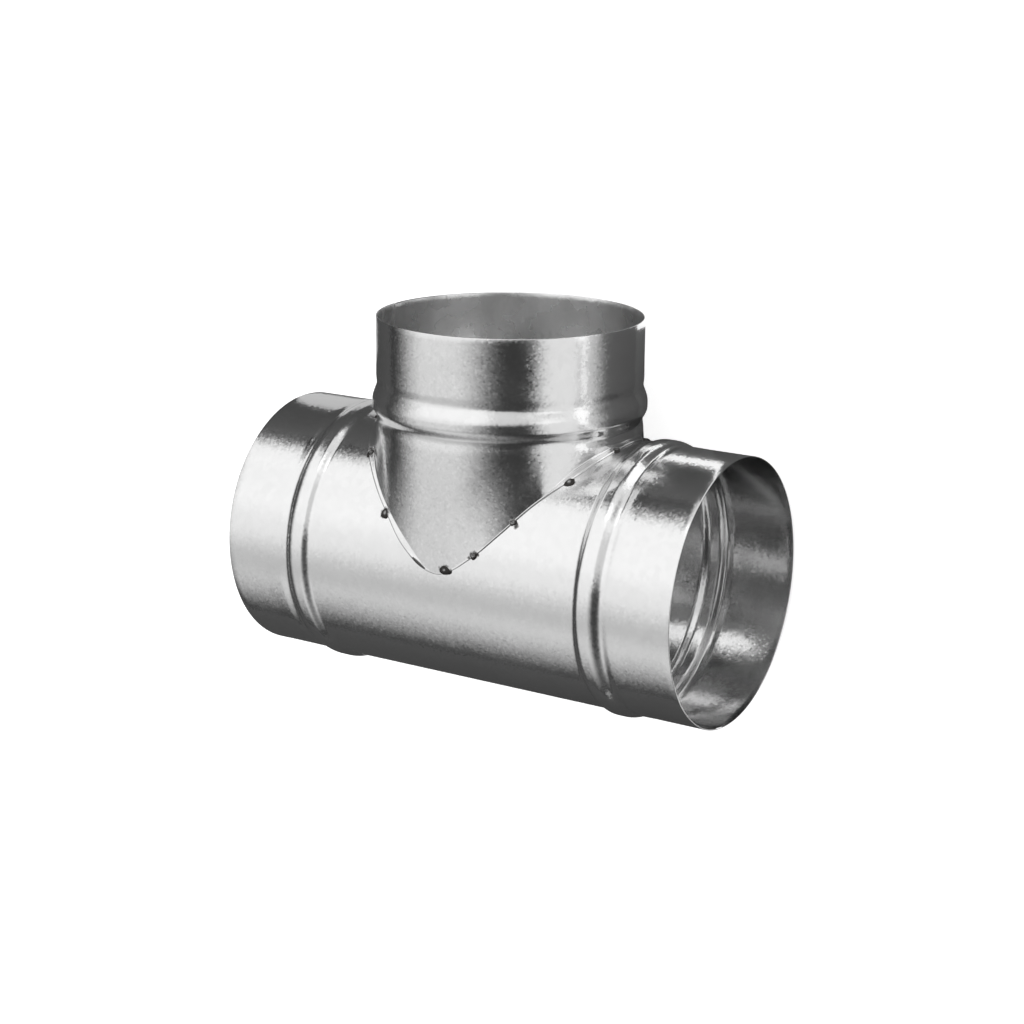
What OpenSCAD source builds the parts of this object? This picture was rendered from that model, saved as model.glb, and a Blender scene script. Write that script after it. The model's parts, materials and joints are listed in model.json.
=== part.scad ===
// Equal 90 degree tee for round duct, made of two rolled sheets: a straight run with a round
// hole in its side, and a branch whose foot is cut to the run's curve and turned out as a lip.
// Each of the three spigots has a rolled bead that stops the duct pushed over it.
// The tee lies on its side, on the crests of its beads: +X runs along the run, +Y along the
// branch towards its mouth, and +Z up. The origin is under the middle of the whole, on the floor.

/* [Duct] */
// Outside diameter of the run, the branch and the spigots
duct_d = 124.3; // [100:0.1:200]
// Thickness of the sheet
sheet = 0.6; // [0.4:0.1:1]

/* [Spigots] */
// From an end of the run to the middle of its bead
run_spigot = 41.5; // [30:0.5:70]
// From the branch's mouth to the middle of its bead
branch_spigot = 39; // [30:0.5:70]
// From the branch's wall to the middle of each bead on the run
bead_off = 15.4; // [15:0.1:40]
// From the top of the run to the middle of the branch's bead
neck_len = 12.8; // [12.5:0.1:60]

/* [Beads] */
// Width of a bead at its base
bead_w = 15.5; // [10:0.5:18]
// Height of a bead over the tube
bead_rise = 1.8; // [0.8:0.1:3]
// Width of the level crest of a bead
crest_w = 3; // [1:0.5:6]
// Width of the shallow groove at the foot of a bead, on its spigot side
groove_w = 8; // [4:0.5:12]
// Depth of that groove
groove_d = 0.5; // [0.1:0.1:1]

/* [Foot of the branch] */
// Width of the turned-out lip
lip_w = 4; // [2:0.1:5]
// Gap between the lip and the run's wall
foot_gap = 0.05; // [0.02:0.01:0.15]
// How far the run's wall reaches in past the branch's wall, round the hole
hole_ledge = 3; // [2:0.5:6]

/* [Seams] */
// Width of the lap where the edges of a rolled sheet meet
lap_w = 6; // [3:0.5:12]
// Turn of the run's lap from straight opposite the branch towards the top
run_lap_turn = 10; // [0:1:40]
// Turn of the branch's lap from the -X side towards the top
branch_lap_turn = 3; // [-20:1:20]

/* [Welds] */
// Width of a spot weld on the run's surface
weld_d = 4; // [3:0.1:5]
// Height of a spot weld over the run's surface
weld_rise = 1.1; // [0.9:0.1:1.6]

/* [Hidden] */
$fn = 180;
galvanised = [0.72, 0.74, 0.76];
burnt = [0.36, 0.36, 0.37];

duct_r = duct_d / 2;
bead_r = duct_r + bead_rise;
bead_x = duct_r + bead_off;
run_len = 2 * (bead_x + run_spigot);
bead_y = duct_r + neck_len;
branch_len = bead_y + branch_spigot;

// Overrun of a cut past the solid it goes through
past = 5;
// How far the neck sinks into the lip, so that the two are one sheet
seat = 0.1;
// How far short of a mouth the inner edge of a lap ends
lap_short = 0.1;

// Radii from the run's axis to the lip's two faces
lip_in_r = duct_r + foot_gap;
lip_out_r = lip_in_r + sheet;

// A spot weld is the cap of a ball sunk below the run's surface
weld_r = (pow(weld_d / 2, 2) + pow(weld_rise, 2)) / (2 * weld_rise);
weld_sunk_r = duct_r + weld_rise - weld_r;
// Places of the spot welds round the foot, as shares of a turn from the top towards +X
weld_turn_shares = [0.010, 0.045, 0.095, 0.155, 0.218, 0.282, 0.345, 0.405,
                    0.470, 0.535, 0.600, 0.662, 0.725, 0.787, 0.850, 0.917];
// How far out from the crease each of them sits, as shares of the lip's width
weld_out_shares = [0.38, 0.95, 0.80, 1.10, 0.90, 1.00, 0.85, 1.00,
                   0.80, 0.95, 0.90, 1.00, 0.85, 1.00, 0.70, 1.05];

// Number of steps along the section of one bead, and round half of the lip
bead_steps = 26;
lip_steps = 45;

// A smooth hump, 1 over its level middle and falling to 0 by half a cosine on either side
function hump(u, level, whole) =
    abs(u) <= level / 2 ? 1 :
    abs(u) >= whole / 2 ? 0 :
    (1 + cos(180 * (abs(u) - level / 2) / ((whole - level) / 2))) / 2;

// How far the sheet stands out at u from the middle of a bead, u growing towards the mouth
function bead_out(u) =
    bead_rise * hump(u, crest_w, bead_w) - groove_d * hump(u - bead_w / 2, 0, groove_w);

// The places u where the section of a bead has a point, from its foot to the groove's end
bead_us = [for (i = [0:bead_steps]) -bead_w / 2 + (bead_w + groove_w / 2) * i / bead_steps];

function reversed(list) = [for (i = [len(list) - 1:-1:0]) list[i]];

// Points [radius, place along the axis] of one bead, its mouth the way that side points
function bead_line(middle, side, inset) =
    [for (u = side > 0 ? bead_us : reversed(bead_us)) [duct_r + bead_out(u) - inset, middle + side * u]];

// Section lines of the two tubes, set in from the outside by inset and ending short of the mouths
function run_line(inset, short = 0) = concat(
    [[duct_r - inset, short - run_len / 2]],
    bead_line(-bead_x, -1, inset),
    bead_line(bead_x, 1, inset),
    [[duct_r - inset, run_len / 2 - short]]);

function branch_line(inset, short = 0) = concat(
    [[duct_r - inset, 0]],
    bead_line(bead_y, 1, inset),
    [[duct_r - inset, branch_len - short]]);

// The crease between the branch and the lip, at turn a round the branch from the top: x along
// the run, and the climb round the run from its top, in degrees
function crease_x(a) = duct_r * sin(a);
function crease_climb(a) = acos(duct_r * cos(a) / lip_out_r);

// The lip's edge lies one lip width from the crease, square to it on the run's unrolled surface
function crease_slope(a) = [duct_r * sin(a) / sin(crease_climb(a)), -duct_r * cos(a)];
function lip_step(a) = lip_w * crease_slope(a) / norm(crease_slope(a));

// A place on the lip, at a share of its width out from the crease
function lip_x(a, share) = crease_x(a) + share * lip_step(a)[0];
function lip_climb(a, share) =
    crease_climb(a) + share * lip_step(a)[1] * 180 / (PI * lip_out_r);

// A point at x along the run, climbed round it by climb from the top, at radius r
function on_run(x, climb, r) = [x, r * sin(climb), r * cos(climb)];

module galvanise() {
    color(galvanised) children();
}

// Moves the tee from its axes, where they cross, to its place on the floor
module laid_down() {
    translate([0, (bead_r - branch_len) / 2, bead_r]) children();
}

// Turns a thing made round Z to lie round the run's or the branch's axis
module along_run() {
    rotate([0, 90, 0]) children();
}

module along_branch() {
    rotate([-90, 0, 0]) children();
}

// The space between two section lines, turned through a whole turn
module rolled(outside, inside) {
    rotate_extrude() polygon(concat(outside, reversed(inside)));
}

// The inner edge of a lapped sheet, a strip against the wall's inside centred on turn
module lap(outside, inside, turn) {
    lap_angle = lap_w / duct_r * 180 / PI;
    rotate([0, 0, turn - lap_angle / 2])
        rotate_extrude(angle = lap_angle) polygon(concat(outside, reversed(inside)));
}

// A solid whose walls stand square to the run's surface and follow the lip's edge
module lip_wedge() {
    radii = [duct_r - past, lip_out_r + past];
    turns = [for (i = [0:lip_steps - 1]) 180 * (i + 0.5) / lip_steps];
    points = [for (a = turns) for (side = [1, -1]) for (r = radii)
        on_run(side * lip_x(a, 1), lip_climb(a, 1), r)];
    last = 4 * (lip_steps - 1);
    bands = [for (i = [0:lip_steps - 2]) let (p = 4 * i, q = p + 4) each [
        [p + 1, p + 3, q + 3, q + 1],
        [p, q, q + 2, p + 2],
        [p, p + 1, q + 1], [p, q + 1, q],
        [p + 2, q + 3, p + 3], [p + 2, q + 2, q + 3]]];
    polyhedron(points, concat([[0, 2, 3, 1]], bands, [[last, last + 1, last + 3, last + 2]]));
}

// Everything that the lip, filled down to the run's surface, takes up
module lip_filled() {
    intersection() {
        along_run() cylinder(r = lip_out_r, h = run_len, center = true);
        lip_wedge();
    }
}

module run_tube() {
    galvanise() laid_down() difference() {
        along_run() {
            rolled(run_line(0), run_line(sheet));
            lap(run_line(sheet / 2, lap_short), run_line(2 * sheet, lap_short), 270 - run_lap_turn);
        }
        along_branch() cylinder(r = duct_r - sheet - hole_ledge, h = branch_len);
    }
}

module branch_tube() {
    galvanise() laid_down() {
        difference() {
            along_branch() {
                rolled(branch_line(0), branch_line(sheet));
                lap(branch_line(sheet / 2, lap_short), branch_line(2 * sheet, lap_short),
                    180 + branch_lap_turn);
            }
            along_run() cylinder(r = lip_out_r - seat, h = run_len, center = true);
        }
        difference() {
            lip_filled();
            along_run() cylinder(r = lip_in_r, h = run_len + past, center = true);
            along_branch() cylinder(r = duct_r - sheet, h = branch_len);
        }
    }
}

module weld_spots() {
    color(burnt) laid_down() difference() {
        for (i = [0:len(weld_turn_shares) - 1]) {
            turn = 360 * weld_turn_shares[i];
            side = turn > 180 ? -1 : 1;
            a = turn > 180 ? 360 - turn : turn;
            climb = lip_climb(a, weld_out_shares[i]);
            translate(on_run(side * lip_x(a, weld_out_shares[i]), climb, weld_sunk_r))
                rotate([-climb, 0, 0]) along_run() sphere(r = weld_r, $fn = 48);
        }
        along_run() cylinder(r = duct_r, h = run_len, center = true);
        along_branch() cylinder(r = duct_r, h = branch_len);
        lip_filled();
    }
}

run_tube();
branch_tube();
weld_spots();
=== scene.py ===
"""Dresses the duct tee: two galvanised sheets with rolled beads, a turned-out lip and a row of spot welds.

All lengths are metres and all angles radians. The tee's own axes cross in the middle of the run: x goes along
the run, y along the branch towards its mouth, and z up. A turn round the branch starts at the top and grows
towards +x. A climb round the run starts at the top and grows towards the branch.
"""
import json
import math

import bmesh
import bpy
import numpy as np
from mathutils import Matrix, Vector


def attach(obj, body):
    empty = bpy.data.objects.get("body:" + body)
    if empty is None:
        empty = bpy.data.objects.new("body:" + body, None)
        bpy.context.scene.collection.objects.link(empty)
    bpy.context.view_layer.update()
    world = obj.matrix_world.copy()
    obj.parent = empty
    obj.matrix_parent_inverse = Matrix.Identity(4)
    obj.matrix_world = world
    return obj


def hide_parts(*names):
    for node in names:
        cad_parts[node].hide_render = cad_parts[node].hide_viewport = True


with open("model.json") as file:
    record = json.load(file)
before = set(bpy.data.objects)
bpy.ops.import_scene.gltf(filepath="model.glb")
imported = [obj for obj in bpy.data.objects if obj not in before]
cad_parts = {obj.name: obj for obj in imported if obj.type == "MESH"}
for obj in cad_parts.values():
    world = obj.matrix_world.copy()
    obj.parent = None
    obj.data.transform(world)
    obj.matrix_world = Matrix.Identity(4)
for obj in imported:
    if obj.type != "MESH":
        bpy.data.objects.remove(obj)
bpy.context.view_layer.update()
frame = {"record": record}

# The tubes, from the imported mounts
MOUNTS = {m["name"]: m for m in frame["record"]["mounts"]}
RUN_END = MOUNTS["run_end_right"]
BRANCH_END = MOUNTS["branch_end"]
MM = 0.001
TUBE_R = RUN_END["dims"]["r_mm"] * MM
AXES = np.array([0.0, RUN_END["pos_m"][1], RUN_END["pos_m"][2]])
RUN_HALF = RUN_END["pos_m"][0] + RUN_END["dims"]["length_mm"] * MM / 2
BRANCH_LEN = BRANCH_END["pos_m"][1] + BRANCH_END["dims"]["length_mm"] * MM / 2 - AXES[1]

# The sheet and its beads
SHEET = 0.6 * MM
RUN_SPIGOT = 41.5 * MM
BRANCH_SPIGOT = 39 * MM
BEAD_W = 15.5 * MM
BEAD_RISE = 1.775 * MM
CREST_W = 3 * MM
# On the body's side the crest runs on a little and the flank is steeper
CREST_IN = 2 * MM
FLANK_IN = 4.6 * MM
FLANK_OUT = 6.9 * MM
GROOVE_W = 8 * MM
GROOVE_D = 0.5 * MM
# The branch's bead: its level crest lies towards the body, between a short flank and a long one
NECK_CREST = (-2.6 * MM, -0.3 * MM)
NECK_FLANKS = (5.4 * MM, 7.9 * MM)
# Depths of the grooves on its body side and its spigot side, and how far out the first one is moved
NECK_GROOVES = (0.35 * MM, 0.3 * MM)
NECK_GROOVE_OFF = 1 * MM
RUN_BEAD_X = RUN_HALF - RUN_SPIGOT
BRANCH_BEAD_Y = BRANCH_LEN - BRANCH_SPIGOT

# The foot of the branch
LIP_W = 4 * MM
FOOT_GAP = 0.05 * MM
LIP_IN_R = TUBE_R + FOOT_GAP
LIP_OUT_R = LIP_IN_R + SHEET
BEND_R = 1 * MM
# Width over which the lip's hammered edge rounds down to the run
EDGE_W = 0.9 * MM
# How far out from the crease the neck lands on the lip, and how much further at the two tips
FLARE = 0.55 * MM
TIP_FLARE = 2.6 * MM
# Sine of the turn from a tip at which its flare is down to half
TIP_SIN = math.sin(math.radians(9))
# How much further right and left of the front tip: millimetres, the turn of the middle and half the stretch
SIDE_FLARES = [(3.2, 28, 36), (1.1, -34, 30)]
# Height over which the flare of the neck runs out, and the share of the neck that it may take
FLARE_LEN = 30 * MM
FLARE_SHARE = 0.9
# The lip's uneven trim: wider or narrower by millimetres, the turn of the middle and half the stretch
TRIMS = [(1.0, -15, 13), (0.3, 0, 7), (0.3, 18, 8), (-0.95, 41, 17)]
TRIM_WAVE = 0.15 * MM
# Least width of the lip between the bend and the edge, and most that the bend's reach takes of it
LEAST_LIP = 0.12 * MM
MOST_REACH = 0.1 * MM
# Heights over the bend within which the bead's groove, and the seam and lap, come in
GROOVE_FADE = 3 * MM
SEAM_FADE = 2 * MM
# How far below the bead the duller coat and the painted light inside the branch start to show
INSIDE_BELOW = 10 * MM
# Share by which the bend and the edge are tighter to the right of the front tip, and where
TIGHT = 0.62
TIGHT_TURN, TIGHT_LEVEL, TIGHT_WHOLE = (math.radians(v) for v in (27, 36, 66))
HOLE_LEDGE = 3 * MM
HOLE_R = TUBE_R - SHEET - HOLE_LEDGE

# The laps of the two rolled sheets, inside, and the hairline where each sheet's edge shows outside
LAP_W = 6 * MM
RUN_LAP_CLIMB = math.radians(-80)
BRANCH_LAP_TURN = math.radians(273)
LAP_STEP_W = 0.12 * MM
SEAM_W = 0.5 * MM
SEAM_D = 0.16 * MM
# Unit of the sheets' unevenness, and the length past a bead over which it comes in
UNEVEN = 0.04 * MM
CALM_LEN = 12 * MM

# The spot welds, by their share of a turn round the branch
WELD_TURN_SHARES = [0.0106, 0.0433, 0.0894, 0.1522, 0.218, 0.282, 0.345, 0.405,
                    0.470, 0.535, 0.600, 0.662, 0.725, 0.787, 0.8536, 0.9244]
WELD_OUT_SHARES = [0.60, 0.95, 0.80, 1.10, 0.90, 1.00, 0.85, 1.00,
                   0.80, 0.95, 0.90, 1.00, 0.85, 1.00, 0.70, 1.05]
WELD_R = 2.7 * MM
WELD_RISE = 1.1 * MM
# How far the first one is lifted, where the lip stands off beside it, and the turn over which that fades
WELD_LIFT = 0.5 * MM
WELD_LIFT_HALF = math.radians(9)
# How far their bases go below the run's surface, and how much their tops droop at the outline
WELD_SUNK = 0.14 * MM
WELD_DROOP = 0.12 * MM
# Their sizes as shares of the radius: the six seen ones differ
WELD_SIZES = [1.25, 0.85, 0.75, 1.0] + 10 * [0.95] + [1.0, 1.05]
# Smears beside them: the weld's number, the way there in millimetres and the share of its radius
SMEARS = [(0, (-1.6, -0.2, 0.0), 0.75), (0, (1.6, 0.2, 0.0), 0.75), (1, (1.9, 0.9, -0.3), 0.6),
          (1, (-1.7, -0.9, 0.2), 0.6), (2, (1.5, -1.3, 0.3), 0.8), (3, (2.2, 0.2, -1.2), 0.45),
          (14, (-1.3, 1.5, -1.1), 0.7), (14, (1.7, -2.0, 1.5), 0.5), (15, (-0.9, -0.9, 0.4), 0.7)]
# Radius of the burnt spot about each of them, and how far noise shifts its outline
BURN_R = 2.3 * MM
BURN_SHIFT = 2 * MM

# Greatest tilt of a grain of the zinc coat
GRAIN_TILT = 0.036

# Where the lip stands a little off the run, between two welds
SLIT_TURN = math.radians(-6.4)
SLIT_HALF = math.radians(6)
SLIT_LIFT = 0.9 * MM
# The painted shade of the slit there: dark spots along a share of it, inside the lip's edge
SLIT_SPOTS = 9
SLIT_SHARE = 0.42
SLIT_IN = 0.8 * MM
SLIT_SPOT_R = 1.15 * MM

# The photograph's camera, round the tee as it stands upright there, in radii of the tube
CAM_AZIMUTH = math.radians(31.93)
CAM_ELEVATION = math.radians(15.24)
CAM_ROLL = math.radians(0.56)
CAM_DISTANCE = 16.386
CAM_TARGET = (0.027, 0.0, 0.320)
FOCAL_PX = 2160.3
IMAGE_PX = 1024
SENSOR_MM = 36

# Level of the studio's dark parts, and of the floor where it is seen
STUDIO_DARK = 0.044
FLOOR_GLOW = 0.76
# Half the side of the floor
FLOOR_HALF = 12.0
# The cards that lie on it: x low, y low, x high, y high and the tone of grey
CARDS = [(-FLOOR_HALF, -FLOOR_HALF, FLOOR_HALF, -0.13, 0.08), (-FLOOR_HALF, -0.13, -0.185, FLOOR_HALF, 0.08),
         (-0.185, 0.108, 0.06, FLOOR_HALF, 0.08), (-0.185, 0.04, 0.03, 0.108, 0.9),
         (0.075, 0.028, 0.6, 0.2, 0.16), (0.03, 0.028, 0.075, 0.078, 0.22),
         (0, -0.09, 0.6, 0.028, 0.1), (-0.185, -0.09, 0, 0.04, 0.08)]
CARD_HEIGHT = 0.2 * MM

rng = np.random.default_rng(7)


def hump(u, level, whole):
    """1 over the level middle, falling to 0 at half the whole width by half a cosine."""
    t = np.clip((np.abs(u) - level / 2) / ((whole - level) / 2), 0, 1)
    return (1 + np.cos(np.pi * t)) / 2


def bead_out(u):
    """How far the sheet stands out at u from the middle of a run's bead: a hump less the groove beside it."""
    spigot_side = hump(u, CREST_W, CREST_W + 2 * FLANK_OUT)
    body_side = hump(u, 2 * CREST_IN, 2 * (CREST_IN + FLANK_IN))
    rise = np.where(u > 0, spigot_side, body_side)
    return BEAD_RISE * rise - GROOVE_D * hump(u - BEAD_W / 2, 0, GROOVE_W)


def neck_bead_out(u, fade):
    """The same for the branch's bead: 1 over its crest, half a cosine down either flank, and a groove beside
    each, the body's one faded out towards the foot."""
    low, high = NECK_CREST
    body_side = hump(u - low, 0, 2 * NECK_FLANKS[0])
    spigot_side = hump(np.maximum(u - high, 0), 0, 2 * NECK_FLANKS[1])
    rise = np.where(u < low, body_side, spigot_side)
    body_groove = NECK_GROOVES[0] * fade * hump(u + BEAD_W / 2 + NECK_GROOVE_OFF, 0, GROOVE_W)
    spigot_groove = NECK_GROOVES[1] * hump(u - BEAD_W / 2, 0, GROOVE_W)
    return BEAD_RISE * rise - (body_groove + spigot_groove)


def smooth(t):
    """0 below 0, 1 above 1 and 3 t squared less 2 t cubed between."""
    t = np.clip(t, 0, 1)
    return t * t * (3 - 2 * t)


def turn_off(angle, centre):
    """The turn from the centre to the angle, the short way round."""
    return np.angle(np.exp(1j * (angle - centre)))


def near(angle, centre, half):
    """1 at the centre of a stretch of turn, falling to 0 at half to either side."""
    return hump(turn_off(angle, centre), 0, 2 * half)


def stretches(turn, rows):
    """The sum of millimetres times near, over rows of (millimetres, middle and half of the stretch)."""
    return sum(size * MM * near(turn, math.radians(middle), math.radians(half))
               for size, middle, half in rows)


def lap_in(angle, centre):
    """How much thicker the wall is at the lap: one sheet over its width, with a steep step at either edge."""
    off = np.abs(turn_off(angle, centre)) * TUBE_R
    return SHEET * smooth((LAP_W / 2 - off) / LAP_STEP_W + 0.5)


def seam_in(angle, centre):
    """Depth of the hairline outside, a V groove along one edge of the lap."""
    off = turn_off(angle, centre) * TUBE_R - LAP_W / 2
    return SEAM_D * np.clip(1 - np.abs(off) / (SEAM_W / 2), 0, 1)


def lap_angles(centre):
    """The turns at which the lap's two steps and the seam need a row of points."""
    half, step, seam = LAP_W / 2 / TUBE_R, LAP_STEP_W / TUBE_R, SEAM_W / 2 / TUBE_R
    edges = [-half - step / 2, -half, -half + step / 2]
    edges += [half - seam, half - step / 2, half, half + step / 2, half + seam]
    return centre + np.array(edges)


def wobble(along, angle, phases):
    """A rolled sheet's small unevenness, always inwards: a unit times 2.6 and the sum of four long sine waves
    along and round the tube."""
    a, b, c, d = phases
    waves = (np.sin(2 * angle + a) + 0.7 * np.sin(3 * angle + b + 40 * along)
             + 0.5 * np.sin(7 * angle + c - 90 * along) + 0.4 * np.sin(150 * along + d + angle))
    return -UNEVEN * (2.6 + waves)


def round_rim(out_r, in_r):
    """The points over a rim, half a circle from outside to inside: their radii, and how far past its foot."""
    arc = np.linspace(0, np.pi, 6)[1:-1]
    half, mid = (out_r[:, -1:] - in_r[:, -1:]) / 2, (out_r[:, -1:] + in_r[:, -1:]) / 2
    return mid + half * np.cos(arc), SHEET / 2 * np.sin(arc)


def put_in_scene(name, data):
    """Makes an object of a mesh or a camera, and links it to the scene."""
    made = bpy.data.objects.new(name, data)
    bpy.context.scene.collection.objects.link(made)
    return made


def closed_mesh(name, points, faces, material, smooth_angle=38):
    """Makes a piece of the points and faces, merges its doubled points and turns its faces outwards."""
    mesh = bpy.data.meshes.new(name)
    mesh.from_pydata((points + AXES).tolist(), [], faces.tolist())
    work = bmesh.new()
    work.from_mesh(mesh)
    bmesh.ops.remove_doubles(work, verts=work.verts, dist=2e-7)
    bmesh.ops.dissolve_degenerate(work, edges=work.edges, dist=1e-8)
    bmesh.ops.recalc_face_normals(work, faces=work.faces)
    work.to_mesh(mesh)
    work.free()
    mesh.polygons.foreach_set("use_smooth", np.ones(len(mesh.polygons), bool))
    mesh.set_sharp_from_angle(angle=math.radians(smooth_angle))
    mesh.materials.append(material)
    return put_in_scene(name, mesh)


def own_points(piece):
    """The piece's points, measured from where the tee's axes cross."""
    points = np.zeros(len(piece.data.vertices) * 3)
    piece.data.vertices.foreach_get("co", points)
    return points.reshape(-1, 3) - AXES


def give_value(mesh, name, values):
    """Gives the mesh a value of that name at each point, which its material reads."""
    made = mesh.attributes.new(name, "FLOAT", "POINT")
    made.data.foreach_set("value", np.asarray(values, np.float32))


def grid_faces(rows, columns, first=0):
    """Quads between each row and the next, both ways round the rows and along the columns."""
    r, c = np.meshgrid(np.arange(rows), np.arange(columns - 1), indexing="ij")
    r2 = (r + 1) % rows
    quads = np.stack([r * columns + c, r * columns + c + 1, r2 * columns + c + 1, r2 * columns + c], -1)
    return first + quads.reshape(-1, 4)


def crease(turn):
    """x and climb of the crease between branch and lip, where the branch's wall meets the lip's top."""
    return TUBE_R * np.sin(turn), np.arccos(TUBE_R * np.cos(turn) / LIP_OUT_R)


def lip_way(turn):
    """Unit way out from the crease on the run's unrolled surface, as (along x, along the climb)."""
    climb = crease(turn)[1]
    x, s = TUBE_R * np.sin(turn) / np.sin(climb), -TUBE_R * np.cos(turn)
    size = np.hypot(x, s)
    return x / size, s / size


def lip_width(turn):
    """Width of the lip: even, but trimmed by hand, wider to the left of the front tip than to the right."""
    return LIP_W + stretches(turn, TRIMS) + TRIM_WAVE * np.sin(5 * turn + 1)


def lip_lift(turn):
    """How far the lip's edge stands off the run at the slit."""
    return SLIT_LIFT * near(turn, SLIT_TURN, SLIT_HALF)


def foot_sizes(turn):
    """Radius of the bend and width of the rounded edge, both smaller to the right of the front tip."""
    share = 1 - TIGHT * hump(turn - TIGHT_TURN, TIGHT_LEVEL, TIGHT_WHOLE)
    return BEND_R * share, EDGE_W * share


def lip_point(turn, out, radius):
    """The point out from the crease along the lip, at a radius from the run's axis."""
    x, climb = crease(turn)
    wx, ws = lip_way(turn)
    climb = climb + ws * out / LIP_OUT_R
    return np.stack([x + wx * out, radius * np.sin(climb), radius * np.cos(climb)], -1)


def branch_point(turn, y, radius):
    """The point round the branch at a turn from the top, at y along the branch and a radius from its axis."""
    x, z = radius * np.sin(turn), radius * np.cos(turn)
    return np.stack([x, np.broadcast_to(y, x.shape), z], -1)


def weld_centres():
    """Where the welds sit: near the lip's edge, at the run's surface."""
    turns = 2 * np.pi * np.array(WELD_TURN_SHARES)
    return turns, lip_point(turns, LIP_W * np.array(WELD_OUT_SHARES), TUBE_R)


def run_climbs():
    """Climbs of the run's rows: even steps round the back, and the hole's own turns over the hole."""
    turns = np.linspace(0, np.pi, 181)
    over = np.arccos(HOLE_R * np.cos(turns) / TUBE_R)
    back = np.linspace(over[-1], over[0] + 2 * np.pi, 147)[1:-1]
    back = np.sort(np.concatenate([back, lap_angles(RUN_LAP_CLIMB) + 2 * np.pi]))
    return np.concatenate([over, back]), len(turns)


def make_run(material):
    """The run's sheet, as two halves that meet in the middle. Each half is a closed line carried round the
    run: from the hole's edge out over the bead to the mouth, over the rim and back along the inside. The line
    starts where the hole's cylinder cuts the run, at x squared = hole radius squared less z squared, and at 0
    elsewhere."""
    climbs, over_hole = run_climbs()
    hole_x = np.sqrt(np.clip(HOLE_R ** 2 - (TUBE_R * np.cos(climbs)) ** 2, 0, None))
    hole_x[over_hole:] = 0
    hole_x[[0, over_hole - 1]] = 0
    foot = RUN_BEAD_X - BEAD_W / 2
    share = np.linspace(0, 1, 25) ** 1.6
    middle = hole_x[:, None] + (foot - hole_x[:, None]) * share
    bead = np.linspace(foot, RUN_BEAD_X + BEAD_W / 2 + GROOVE_W / 2, 30)[1:]
    spigot = np.linspace(bead[-1], RUN_HALF - SHEET / 2, 10)[1:]
    fixed = np.concatenate([bead, spigot])
    x = np.concatenate([middle, np.broadcast_to(fixed, (len(climbs), len(fixed)))], 1)
    outer = TUBE_R + bead_out(x - RUN_BEAD_X)
    calm = smooth((x - foot - BEAD_W) / CALM_LEN)
    points, faces = [], []
    for side, phases in ((1, rng.random(4) * 6), (-1, rng.random(4) * 6)):
        uneven = calm * wobble(x, climbs[:, None], phases)
        out_r = outer + uneven - seam_in(climbs, RUN_LAP_CLIMB)[:, None]
        in_r = outer + uneven - SHEET - lap_in(climbs, RUN_LAP_CLIMB)[:, None]
        rim_r, rim_x = round_rim(out_r, in_r)
        line_x = np.concatenate([x, x[:, -1:] + rim_x, x[:, ::-1]], 1)
        line_r = np.concatenate([out_r, rim_r, in_r[:, ::-1]], 1)
        c = climbs[:, None]
        made = np.stack([side * line_x, line_r * np.sin(c), line_r * np.cos(c)], -1)
        first = sum(len(p) for p in points)
        rows, columns = line_x.shape
        faces.append(grid_faces(rows, columns, first))
        edge = np.arange(over_hole - 1)
        faces.append(first + np.stack([edge * columns + columns - 1, edge * columns,
                                       (edge + 1) * columns, (edge + 1) * columns + columns - 1], -1))
        points.append(made.reshape(-1, 3))
    return closed_mesh("run_sheet", np.concatenate(points), np.concatenate(faces), material)


def unit(vectors):
    """The vectors at length 1."""
    return vectors / np.linalg.norm(vectors, axis=-1, keepdims=True)


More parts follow.
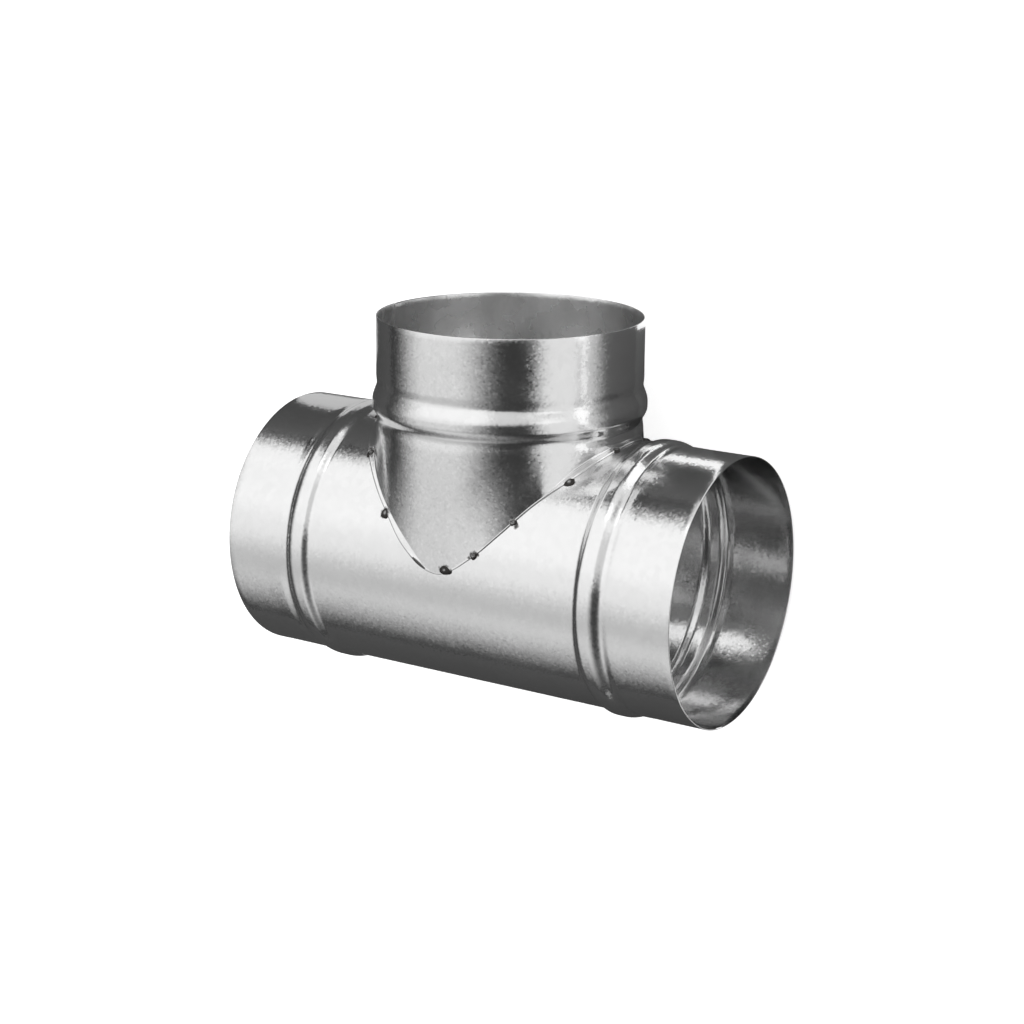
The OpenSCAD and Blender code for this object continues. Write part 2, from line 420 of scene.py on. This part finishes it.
def make_branch(material):
    """The branch's sheet, as one closed line carried round the branch. Outside, it goes from the lip's edge
    in along the lip, round the bend, up the neck and over the bead to the mouth, and it comes back inside,
    one sheet deeper. The bend is an arc square to its corner line, from a point on the lip to a point on the
    neck. The neck narrows from there by a cubic that ends level on the tube."""
    turns = np.sort(np.concatenate([np.linspace(0, 2 * np.pi, 361)[:-1], lap_angles(BRANCH_LAP_TURN)]))
    foot = BRANCH_BEAD_Y - BEAD_W / 2
    # The corner line, where the neck would meet the lip without a bend
    shift = FLARE + TIP_FLARE / (1 + (np.sin(turns) / TIP_SIN) ** 2)
    shift = shift + stretches(turns, SIDE_FLARES)
    width = lip_width(turns)
    bend_r, edge_w = foot_sizes(turns)
    shift = np.minimum(shift, width - edge_w - LEAST_LIP)
    corner = lip_point(turns, shift, LIP_OUT_R)
    corner_r = np.hypot(corner[:, 0], corner[:, 2])
    length = np.minimum(FLARE_LEN, FLARE_SHARE * (foot - corner[:, 1]))
    slope = -1.5 * (corner_r - TUBE_R) / length
    # The neck's way up and the lip's way out, both square to the corner line
    line_way = unit(np.roll(corner, -1, 0) - np.roll(corner, 1, 0))
    up = np.stack([slope * corner[:, 0] / corner_r, np.ones_like(turns), slope * corner[:, 2] / corner_r], -1)
    up = unit(up - line_way * (up * line_way).sum(-1, keepdims=True))
    wx, ws = lip_way(turns)
    climb = np.arctan2(corner[:, 1], corner[:, 2])
    out = np.stack([wx, ws * np.cos(climb), -ws * np.sin(climb)], -1)
    out = unit(out - line_way * (out * line_way).sum(-1, keepdims=True))
    bend = np.pi - np.arccos(np.clip((up * out).sum(-1), -1, 1))
    reach = bend_r * np.tan(bend / 2)
    # The arc's centre lies off the corner, midway between the two ways
    centre = corner + unit(up + out) * (bend_r / np.cos(bend / 2))[:, None]
    start = corner + out * reach[:, None] - centre
    end = corner + up * reach[:, None] - centre
    share = np.linspace(0, 1, 9)
    weight_a = np.sin((1 - share) * bend[:, None]) / np.sin(bend)[:, None]
    weight_b = np.sin(share * bend[:, None]) / np.sin(bend)[:, None]
    spoke = start[:, None, :] * weight_a[..., None] + end[:, None, :] * weight_b[..., None]
    bend_out = centre[:, None, :] + spoke
    bend_in = centre[:, None, :] + spoke * ((bend_r + SHEET) / bend_r)[:, None, None]
    # The lip, from its sheared edge in to the bend
    width, edge_w = width[:, None], edge_w[:, None]
    inner = (shift + np.minimum(reach, MOST_REACH))[:, None]
    lift = lip_lift(turns)[:, None]
    along = np.linspace(0, 1, 5)[:-1]
    out_at = width - edge_w + (inner - width + edge_w) * along
    lifted = lift * smooth((out_at - inner) / (width - inner))
    lip_out = lip_point(turns[:, None], out_at, LIP_OUT_R + lifted)
    lip_in = lip_point(turns[:, None], out_at, LIP_IN_R + lifted)
    arc = np.linspace(0.12, 0.95, 6) * np.pi / 2
    round_out = np.concatenate([[0.9], np.cos(arc)]) * edge_w
    round_up = np.concatenate([[0.02], np.sin(arc)]) * SHEET
    edge = lip_point(turns[:, None], width - edge_w + round_out, LIP_IN_R + lift + round_up)
    # The neck, the bead and the spigot, at places y along the branch
    neck_share = np.linspace(0, 1, 34)[1:] ** 1.3
    bead = np.linspace(foot, BRANCH_BEAD_Y + BEAD_W / 2 + GROOVE_W / 2, 32)[1:]
    spigot = np.linspace(bead[-1], BRANCH_LEN - SHEET / 2, 12)[1:]
    top = bend_out[:, -1]
    neck_y = top[:, 1:2] + (foot - top[:, 1:2]) * neck_share
    turn_from = np.arctan2(top[:, 0], top[:, 2])
    slip = turn_off(turn_from, turns)[:, None] * (1 - smooth(neck_share))
    fixed = np.concatenate([bead, spigot])
    y = np.concatenate([neck_y, np.broadcast_to(fixed, (len(turns), len(fixed)))], 1)
    turn = turns[:, None] + np.concatenate([slip, np.zeros((len(turns), len(fixed)))], 1)
    left = (corner[:, 1] + length - top[:, 1])[:, None]
    s = np.clip((y - top[:, 1:2]) / left, 0, 1)
    top_r = np.hypot(top[:, 0], top[:, 2])[:, None]
    flare = (top_r - TUBE_R) * (2 * s ** 3 - 3 * s ** 2 + 1)
    flare = flare + slope[:, None] * left * (s ** 3 - 2 * s ** 2 + s)
    outer = TUBE_R + flare + neck_bead_out(y - BRANCH_BEAD_Y, smooth((y - top[:, 1:2]) / GROOVE_FADE))
    calm = smooth((y - foot - BEAD_W) / CALM_LEN)
    uneven = calm * wobble(y, turn, rng.random(4) * 6)
    above = smooth((y - top[:, 1:2]) / SEAM_FADE)
    out_r = outer + uneven - above * seam_in(turn, BRANCH_LAP_TURN)
    in_r = outer + uneven - SHEET - above * lap_in(turn, BRANCH_LAP_TURN)
    rim_r, rim_y = round_rim(out_r, in_r)
    wall_out, wall_in = branch_point(turn, y, out_r), branch_point(turn, y, in_r)
    rim = branch_point(turns[:, None], y[:, -1:] + rim_y, rim_r)
    line = np.concatenate([edge, lip_out, bend_out, wall_out, rim, wall_in[:, ::-1],
                           bend_in[:, ::-1], lip_in[:, ::-1], edge[:, :1]], 1)
    rows, columns = line.shape[:2]
    piece = closed_mesh("branch_sheet", line.reshape(-1, 3), grid_faces(rows, columns), material)
    # 1 inside the tube, 0 outside it, and a smooth step through the sheet, from a little below the bead
    made = own_points(piece)
    deep = TUBE_R + neck_bead_out(made[:, 1] - BRANCH_BEAD_Y, 1.0) - np.hypot(made[:, 0], made[:, 2])
    inside = smooth((deep - 0.3 * SHEET) / (0.5 * SHEET)) * (made[:, 1] > foot - INSIDE_BELOW)
    give_value(piece.data, "inside", inside)
    return piece


def make_welds(material):
    """The spot welds: each a low dome over a flat base, height = rise times a bell of its radius with a small
    crater in the middle and a wavy outline, square to the run's surface at the lip's edge."""
    turns, centres = weld_centres()
    rings, spokes = 12, 36
    u = np.linspace(0, 1, rings)
    angle = np.linspace(0, 2 * np.pi, spokes, endpoint=False)
    points, faces = [], []
    for turn, centre, share in zip(turns, centres, WELD_SIZES):
        climb = math.atan2(centre[1], centre[2])
        normal = np.array([0, math.sin(climb), math.cos(climb)])
        across = np.array([1.0, 0, 0])
        around = np.cross(normal, across)
        wave = 1 + 0.14 * np.sin(2 * angle + rng.random() * 6) + 0.09 * np.sin(3 * angle + rng.random() * 6)
        wave = wave + 0.05 * np.sin(5 * angle + rng.random() * 6)
        size = WELD_R * share * (0.84 + 0.08 * rng.random())
        radius = size * u[:, None] * wave
        bell = np.cos(u * np.pi / 2) ** 0.8 - 0.55 * np.exp(-(u / 0.33) ** 2)
        ripple = 1 + 0.12 * u[:, None] * np.sin(5 * angle + turn)
        height = WELD_RISE * np.clip(bell, 0, None)[:, None] * ripple
        height = height - WELD_DROOP * u[:, None] ** 4 + WELD_LIFT * near(turn, 0, WELD_LIFT_HALF)
        flat = radius[..., None] * (np.cos(angle)[:, None] * across + np.sin(angle)[:, None] * around)
        top = centre + flat + height[..., None] * normal
        base = centre + flat[::-1] - WELD_SUNK * normal
        line = np.concatenate([top, base]).transpose(1, 0, 2)
        first = sum(len(p) for p in points)
        faces.append(grid_faces(spokes, 2 * rings, first))
        points.append(line.reshape(-1, 3))
    piece = closed_mesh("weld_dots", np.concatenate(points), np.concatenate(faces), material, 60)
    off = np.min(np.linalg.norm(own_points(piece)[:, None, :] - centres[None], axis=2), axis=1)
    give_value(piece.data, "core", np.clip(1 - off / WELD_R, 0, 1))
    return piece


def feed(tree, socket, value):
    """Links a socket to the input, or sets the input to a number or a triple."""
    if isinstance(value, bpy.types.NodeSocket):
        tree.links.new(value, socket)
    else:
        socket.default_value = value


def node(tree, kind, **inputs):
    """Adds a node, and feeds each keyword value to the input of that name."""
    made = tree.nodes.new(kind)
    for name, value in inputs.items():
        feed(tree, made.inputs[name.replace("_", " ")], value)
    return made


def maths(tree, operation, *values):
    """A Math node on up to three sockets or numbers."""
    made = tree.nodes.new("ShaderNodeMath")
    made.operation = operation
    for socket, value in zip(made.inputs, values):
        feed(tree, socket, value)
    return made.outputs[0]


def vector_maths(tree, operation, *values):
    """A Vector Math node on up to three sockets or triples."""
    made = tree.nodes.new("ShaderNodeVectorMath")
    made.operation = operation
    for socket, value in zip(made.inputs, values):
        feed(tree, socket, value)
    return made.outputs["Value"] if operation == "DISTANCE" else made.outputs[0]


def ramp(tree, value, low, high, to_low=0.0, to_high=1.0):
    """A smooth step of value from low to high."""
    made = node(tree, "ShaderNodeMapRange", Value=value)
    made.interpolation_type = "SMOOTHSTEP"
    for name, number in (("From Min", low), ("From Max", high), ("To Min", to_low), ("To Max", to_high)):
        made.inputs[name].default_value = number
    return made.outputs[0]


def blend(tree, share, low, high):
    """The colour low where the share is 0, high where it is 1, and a mix between."""
    made = tree.nodes.new("ShaderNodeMix")
    made.data_type = "RGBA"
    for place, value in ((0, share), (6, low), (7, high)):
        feed(tree, made.inputs[place], value)
    return made.outputs[2]


def grey_tone(tree, grey):
    """A colour with equal red, green and blue."""
    return node(tree, "ShaderNodeCombineColor", Red=grey, Green=grey, Blue=grey).outputs[0]


def given_value(tree, name):
    """The value of that name that the mesh has at each point, and 0 where it has none."""
    made = tree.nodes.new("ShaderNodeAttribute")
    made.attribute_name = name
    return made.outputs["Fac"]


def empty_tree(owner):
    """The nodes of a material or a world, emptied."""
    owner.use_nodes = True
    owner.node_tree.nodes.clear()
    return owner.node_tree


def new_material(name):
    """A material with one principled shader and its output."""
    made = bpy.data.materials.new(name)
    tree = empty_tree(made)
    shader = tree.nodes.new("ShaderNodeBsdfPrincipled")
    node(tree, "ShaderNodeOutputMaterial", Surface=shader.outputs[0])
    return made, tree, shader


def least_share(tree, place, spots):
    """The least distance from place to any of the spots' middles, each divided by that spot's radius."""
    least = None
    for centre, size in spots:
        share = maths(tree, "DIVIDE", vector_maths(tree, "DISTANCE", place, centre + AXES), size)
        least = share if least is None else maths(tree, "MINIMUM", least, share)
    return least


def weld_burns_and_slit_shade(tree, place):
    """1 within a ragged burnt spot about each weld and a burnt smear beside some of them, and within dark
    spots of painted shade
    along the slit, and 0 away from them: a smooth step of the least distance to any of their middles, each
    divided by its own radius."""
    ragged = node(tree, "ShaderNodeTexNoise", Vector=place, Scale=420.0, Detail=2.0)
    shifted = vector_maths(tree, "MULTIPLY_ADD", ragged.outputs["Color"], (2 * BURN_SHIFT,) * 3, place)
    draw = np.random.default_rng(3)
    spots = [(centre, BURN_R * share * (0.9 + 0.2 * draw.random()))
             for centre, share in zip(weld_centres()[1], WELD_SIZES)]
    spots += [(spots[i][0] + np.array(way) * MM, share * spots[i][1]) for i, way, share in SMEARS]
    welds = least_share(tree, shifted, [(centre + BURN_SHIFT, size) for centre, size in spots])
    # Painted shade along the slit: dark spots inside the lip's edge
    along = np.linspace(-1, 1, SLIT_SPOTS)
    turns = SLIT_TURN + SLIT_SHARE * along * SLIT_HALF
    middles = lip_point(turns, lip_width(turns) - SLIT_IN, LIP_OUT_R + lip_lift(turns))
    slit = least_share(tree, place, zip(middles, SLIT_SPOT_R * (1 - 0.45 * along ** 2)))
    return maths(tree, "MAXIMUM", ramp(tree, welds, 0.45, 1.2, 1.0, 0.0),
                 ramp(tree, slit, 0.6, 1.15, 1.0, 0.0))


def galvanised_sheet():
    """Bright zinc: small grains of the coat, each tilted its own way, over faint clouds, and burnt beside the
    welds, with painted shade at the slit."""
    made, tree, shader = new_material("galvanised_sheet")
    place = node(tree, "ShaderNodeTexCoord").outputs["Object"]
    grain = node(tree, "ShaderNodeTexVoronoi", Vector=place, Scale=1050.0)
    tint = node(tree, "ShaderNodeTexVoronoi", Vector=place, Scale=330.0)
    clouds = node(tree, "ShaderNodeTexNoise", Vector=place, Scale=70.0, Detail=3.0)
    draw = vector_maths(tree, "MULTIPLY_ADD", grain.outputs["Color"], (2, 2, 2), (-1, -1, -1))
    cube = vector_maths(tree, "MULTIPLY", vector_maths(tree, "MULTIPLY", draw, draw), draw)
    tilt = vector_maths(tree, "MULTIPLY", cube, (GRAIN_TILT,) * 3)
    normal = node(tree, "ShaderNodeNewGeometry").outputs["Normal"]
    tilted = vector_maths(tree, "NORMALIZE", vector_maths(tree, "ADD", normal, tilt))
    tree.links.new(tilted, shader.inputs["Normal"])
    grey = maths(tree, "MULTIPLY_ADD", tint.outputs["Color"], 0.03, 0.69)
    grey = maths(tree, "MULTIPLY_ADD", clouds.outputs[0], 0.05, grey)
    # Inside the branch the coat is duller, and its colour is painted paler in streaks along the tube: painted
    # light
    inside = given_value(tree, "inside")
    streaks = node(tree, "ShaderNodeTexNoise", Scale=45.0, Detail=2.0,
                   Vector=vector_maths(tree, "MULTIPLY", place, (1.0, 0.25, 1.0)))
    painted_inside_light = ramp(tree, streaks.outputs[0], 0.35, 0.68, 0.02, 0.17)
    grey = maths(tree, "MULTIPLY_ADD", inside, painted_inside_light, grey)
    # Burnt spots by the welds, and painted shade at the slit
    burn_and_slit_shade = maths(tree, "MULTIPLY", weld_burns_and_slit_shade(tree, place), 0.95)
    colour = blend(tree, burn_and_slit_shade, grey_tone(tree, grey), (0.045, 0.042, 0.04, 1))
    tree.links.new(colour, shader.inputs["Base Color"])
    rough = ramp(tree, clouds.outputs[0], 0.3, 0.7, 0.15, 0.19)
    rough = maths(tree, "MULTIPLY_ADD", inside, 0.1, rough)
    rough = maths(tree, "MULTIPLY_ADD", burn_and_slit_shade, 0.3, rough)
    tree.links.new(rough, shader.inputs["Roughness"])
    # Burnt metal, and the painted shade at the slit, mirror less, also at a glance
    tree.links.new(maths(tree, "MULTIPLY_ADD", burn_and_slit_shade, -0.9, 1.0), shader.inputs["Metallic"])
    return made


def weld_metal():
    """Burnt weld metal: nearly black, with a small bright core."""
    made, tree, shader = new_material("weld_metal")
    place = node(tree, "ShaderNodeTexCoord").outputs["Object"]
    clouds = node(tree, "ShaderNodeTexNoise", Vector=place, Scale=900.0, Detail=2.0)
    uneven = maths(tree, "MULTIPLY_ADD", clouds.outputs[0], 0.35, given_value(tree, "core"))
    bright = ramp(tree, uneven, 0.62, 1.0)
    colour = blend(tree, bright, (0.05, 0.047, 0.045, 1), (0.42, 0.42, 0.42, 1))
    tree.links.new(colour, shader.inputs["Base Color"])
    tree.links.new(ramp(tree, bright, 0, 1, 0.55, 0.35), shader.inputs["Roughness"])
    shader.inputs["Metallic"].default_value = 0.9
    return made


def lay(vector):
    """Turns a vector of the upright tee to the tee as it lies, its front up: (x, y, z) becomes (x, z, -y)."""
    return Vector((vector[0], vector[2], -vector[1]))


def make_camera():
    """The photograph's camera, turned with the tee as it is laid down on its side."""
    az, el = CAM_AZIMUTH, CAM_ELEVATION
    back = Vector((math.sin(az) * math.cos(el), -math.cos(az) * math.cos(el), math.sin(el)))
    right = Vector((math.cos(az), math.sin(az), 0))
    up = back.cross(right)
    right2 = right * math.cos(CAM_ROLL) + up * math.sin(CAM_ROLL)
    up2 = up * math.cos(CAM_ROLL) - right * math.sin(CAM_ROLL)
    eye = Vector(CAM_TARGET) + back * CAM_DISTANCE
    columns = [lay(right2), lay(up2), lay(back)]
    turn = Matrix([[c[i] for c in columns] for i in range(3)])
    data = bpy.data.cameras.new("camera")
    data.sensor_width = SENSOR_MM
    data.lens = FOCAL_PX / IMAGE_PX * SENSOR_MM
    data.clip_start, data.clip_end = 0.01, 50
    camera = put_in_scene("camera", data)
    camera.matrix_world = Matrix.Translation(Vector(AXES) + lay(eye) * TUBE_R) @ turn.to_4x4()
    bpy.context.scene.camera = camera


def make_world():
    """A studio by direction: a wide soft box over the left and the branch's end, a lower one on the right,
    and dark between them and round the horizon."""
    world = bpy.data.worlds.new("studio")
    bpy.context.scene.world = world
    tree = empty_tree(world)
    way = node(tree, "ShaderNodeTexCoord").outputs["Generated"]
    split = node(tree, "ShaderNodeSeparateXYZ", Vector=way)
    x, y, z = split.outputs
    # The box's lower edge: soft in front, and sharp and slanting beyond the branch's end
    far_left = maths(tree, "MINIMUM", maths(tree, "ADD", x, 0.55), 0.0)
    soft = ramp(tree, maths(tree, "MULTIPLY_ADD", far_left, 0.25, z), -0.02, 0.66)
    slanted = maths(tree, "MULTIPLY_ADD", maths(tree, "MINIMUM", x, -0.36), -1.1, z)
    sharp = ramp(tree, slanted, 0.66, 0.90)
    beyond = ramp(tree, y, 0.25, 0.7)
    edge = maths(tree, "MULTIPLY_ADD", beyond, maths(tree, "SUBTRACT", sharp, soft), soft)
    # Its level: full beyond the branch's end, and lower in front
    level = maths(tree, "ADD", ramp(tree, y, -0.42, 0.0, 0.62, 1.04), ramp(tree, y, 0.05, 0.35, 0.0, 0.16))
    level = maths(tree, "ADD", level, ramp(tree, y, -0.65, -0.45, 0.16, 0.0))
    across = maths(tree, "SUBTRACT", x, ramp(tree, y, -0.1, 0.35, 0.0, 0.8))
    box = maths(tree, "MULTIPLY", edge, level)
    box = maths(tree, "MULTIPLY", box, ramp(tree, across, -0.3, 0.5, 1.0, 0.0))
    # A little less where it is high and to the right
    dip = maths(tree, "MULTIPLY", ramp(tree, x, 0.1, 0.35), ramp(tree, z, 0.5, 0.68))
    box = maths(tree, "MULTIPLY", box, maths(tree, "MULTIPLY_ADD", dip, -0.35, 1.0))
    side = ramp(tree, x, 0.70, 0.90, 0.0, 0.95)
    over = maths(tree, "MULTIPLY", ramp(tree, y, 0.80, 0.93), ramp(tree, x, -0.36, -0.2, 0.0, 0.9))
    lit = maths(tree, "ADD", box, maths(tree, "MAXIMUM", side, over))
    background = node(tree, "ShaderNodeBackground", Strength=maths(tree, "ADD", lit, STUDIO_DARK))
    background.inputs["Color"].default_value = (1, 1, 1, 1)
    node(tree, "ShaderNodeOutputWorld", Surface=background.outputs[0])


def lay_flat(name, rectangles, height):
    """A mesh of level rectangles at one height, each from (x low, y low) to (x high, y high)."""
    low_x, low_y, high_x, high_y = np.array(rectangles, float).T
    points = np.stack([low_x, low_y, high_x, low_y, high_x, high_y, low_x, high_y], -1).reshape(-1, 2)
    points = np.concatenate([points, np.full((len(points), 1), height)], 1)
    mesh = bpy.data.meshes.new(name)
    mesh.from_pydata(points.tolist(), [], np.arange(len(points)).reshape(-1, 4).tolist())
    return put_in_scene(name, mesh)


def make_cards():
    """Dark and pale cards that lie on the floor round the tee, and pale to the right. The camera and the
    floor don't see them: they only give the tee's outlines their tone, in its mirror images."""
    cards = lay_flat("cards", [card[:4] for card in CARDS], CARD_HEIGHT)
    give_value(cards.data, "tone", np.repeat([card[4] for card in CARDS], 4))
    made, tree, shader = new_material("card_tones")
    place = node(tree, "ShaderNodeTexCoord").outputs["Object"]
    x = node(tree, "ShaderNodeSeparateXYZ", Vector=place).outputs[0]
    grey = maths(tree, "MAXIMUM", ramp(tree, x, 0.12, 0.36, 0.0, 0.9), given_value(tree, "tone"))
    tree.links.new(grey_tone(tree, grey), shader.inputs["Base Color"])
    shader.inputs["Roughness"].default_value = 0.9
    cards.data.materials.append(made)
    for ray in ("camera", "diffuse", "transmission", "shadow"):
        setattr(cards, "visible_" + ray, False)


def make_floor():
    """A pale floor that fills the view, white where it is lit and grey in the tee's shadow."""
    floor = lay_flat("floor", [(-FLOOR_HALF, -FLOOR_HALF, FLOOR_HALF, FLOOR_HALF)], 0)
    made = bpy.data.materials.new("floor_white")
    tree = empty_tree(made)
    path = node(tree, "ShaderNodeLightPath")
    seen = maths(tree, "ADD", path.outputs["Is Camera Ray"], path.outputs["Is Glossy Ray"])
    seen = maths(tree, "MINIMUM", maths(tree, "ADD", seen, path.outputs["Is Transmission Ray"]), 1.0)
    glow = node(tree, "ShaderNodeEmission", Strength=maths(tree, "MULTIPLY", seen, FLOOR_GLOW))
    glow.inputs["Color"].default_value = (1, 1, 1, 1)
    matt = node(tree, "ShaderNodeBsdfDiffuse")
    matt.inputs["Color"].default_value = (0.9, 0.9, 0.9, 1)
    both = tree.nodes.new("ShaderNodeAddShader")
    tree.links.new(glow.outputs[0], both.inputs[0])
    tree.links.new(matt.outputs[0], both.inputs[1])
    node(tree, "ShaderNodeOutputMaterial", Surface=both.outputs[0])
    floor.data.materials.append(made)


make_camera()
make_world()
make_floor()
make_cards()
bpy.context.scene.view_settings.view_transform = "Standard"

zinc = galvanised_sheet()
run_sheet = make_run(zinc)
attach(run_sheet, "root")
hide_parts("run_tube")
branch_sheet = make_branch(zinc)
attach(branch_sheet, "root")
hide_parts("branch_tube")
weld_dots = make_welds(weld_metal())
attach(weld_dots, "root")
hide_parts("weld_spots")
